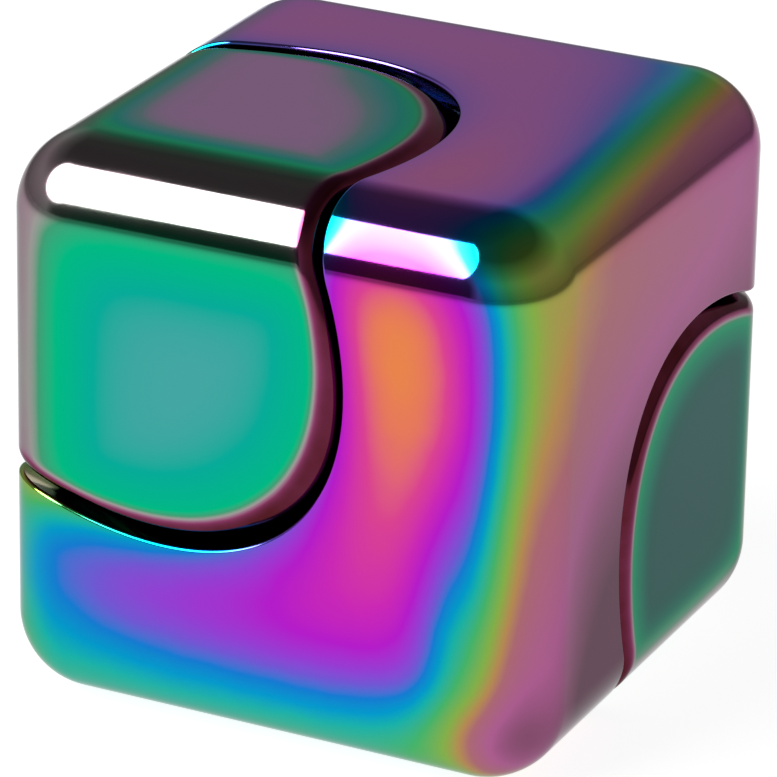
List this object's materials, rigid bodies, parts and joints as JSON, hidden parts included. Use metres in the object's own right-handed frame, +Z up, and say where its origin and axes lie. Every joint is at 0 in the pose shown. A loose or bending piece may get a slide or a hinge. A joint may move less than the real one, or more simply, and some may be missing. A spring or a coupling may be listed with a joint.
{
  "type": "fidget cube",
  "caption": "Metal cube with a rainbow finish: a ring-shaped body spins on a ball bearing between two corner caps held by finger and thumb.",
  "frame": {"origin": "middle of the cube's bottom face, where it rests on a table", "axes": "+Z up, X and Y along the cube's bottom edges; the spin axis runs through the cube's centre to the upper cap's corner at -X, -Y, +Z"},
  "size_m": [0.025, 0.025, 0.025],
  "materials": {
    "body_film": "rainbow vapour-deposited film over polished zinc alloy, magenta and violet with teal edges",
    "cap_film": "rainbow vapour-deposited film over polished zinc alloy, green and teal with mauve rims",
    "turned_steel": "turned, bright zinc plated",
    "ground_steel": "hardened and ground",
    "pressed_steel": "pressed sheet, satin",
    "ball_steel": "polished bearing ball"
  },
  "bodies": {
    "core": {"upper_corner_cap": "cap_film", "lower_corner_cap": "cap_film", "axle": "turned_steel", "upper_spacer_washer": "turned_steel", "lower_spacer_washer": "turned_steel", "bearing_inner_ring": "ground_steel"},
    "spinner": {"spinner_body": "body_film", "bearing_outer_ring": "ground_steel", "upper_bearing_shield": "pressed_steel", "lower_bearing_shield": "pressed_steel"},
    "cage": {"upper_cage_half": "pressed_steel", "lower_cage_half": "pressed_steel", "cage_rivets": "pressed_steel"},
    "ball_1": {"bearing_ball_1": "ball_steel"},
    "ball_2": {"bearing_ball_2": "ball_steel"},
    "ball_3": {"bearing_ball_3": "ball_steel"},
    "ball_4": {"bearing_ball_4": "ball_steel"},
    "ball_5": {"bearing_ball_5": "ball_steel"},
    "ball_6": {"bearing_ball_6": "ball_steel"},
    "ball_7": {"bearing_ball_7": "ball_steel"}
  },
  "joints": [
    {"name": "body_spin", "type": "hinge", "parent": "core", "child": "spinner", "pos_m": [0, 0, 0.0125], "axis": [-0.5774, -0.5774, 0.5774], "continuous": true},
    {"name": "cage_orbit", "type": "hinge", "parent": "core", "child": "cage", "pos_m": [0, 0, 0.0125], "axis": [-0.5774, -0.5774, 0.5774], "continuous": true},
    {"name": "ball_1_roll", "type": "hinge", "parent": "cage", "child": "ball_1", "pos_m": [-0.00306, -0.00306, 0.00638], "axis": [-0.5774, -0.5774, 0.5774], "continuous": true},
    {"name": "ball_2_roll", "type": "hinge", "parent": "cage", "child": "ball_2", "pos_m": [0.00224, -0.00606, 0.00868], "axis": [-0.5774, -0.5774, 0.5774], "continuous": true},
    {"name": "ball_3_roll", "type": "hinge", "parent": "cage", "child": "ball_3", "pos_m": [0.00585, -0.00449, 0.01386], "axis": [-0.5774, -0.5774, 0.5774], "continuous": true},
    {"name": "ball_4_roll", "type": "hinge", "parent": "cage", "child": "ball_4", "pos_m": [0.00506, 0.00046, 0.01802], "axis": [-0.5774, -0.5774, 0.5774], "continuous": true},
    {"name": "ball_5_roll", "type": "hinge", "parent": "cage", "child": "ball_5", "pos_m": [0.00046, 0.00506, 0.01802], "axis": [-0.5774, -0.5774, 0.5774], "continuous": true},
    {"name": "ball_6_roll", "type": "hinge", "parent": "cage", "child": "ball_6", "pos_m": [-0.00449, 0.00585, 0.01386], "axis": [-0.5774, -0.5774, 0.5774], "continuous": true},
    {"name": "ball_7_roll", "type": "hinge", "parent": "cage", "child": "ball_7", "pos_m": [-0.00606, 0.00224, 0.00868], "axis": [-0.5774, -0.5774, 0.5774], "continuous": true}
  ],
  "couplings": [
    {"joint": "cage_orbit", "follows": "body_spin", "ratio": 0.63227},
    {"joint": "ball_1_roll", "follows": "body_spin", "ratio": 1.7579},
    {"joint": "ball_2_roll", "follows": "body_spin", "ratio": 1.7579},
    {"joint": "ball_3_roll", "follows": "body_spin", "ratio": 1.7579},
    {"joint": "ball_4_roll", "follows": "body_spin", "ratio": 1.7579},
    {"joint": "ball_5_roll", "follows": "body_spin", "ratio": 1.7579},
    {"joint": "ball_6_roll", "follows": "body_spin", "ratio": 1.7579},
    {"joint": "ball_7_roll", "follows": "body_spin", "ratio": 1.7579}
  ]
}
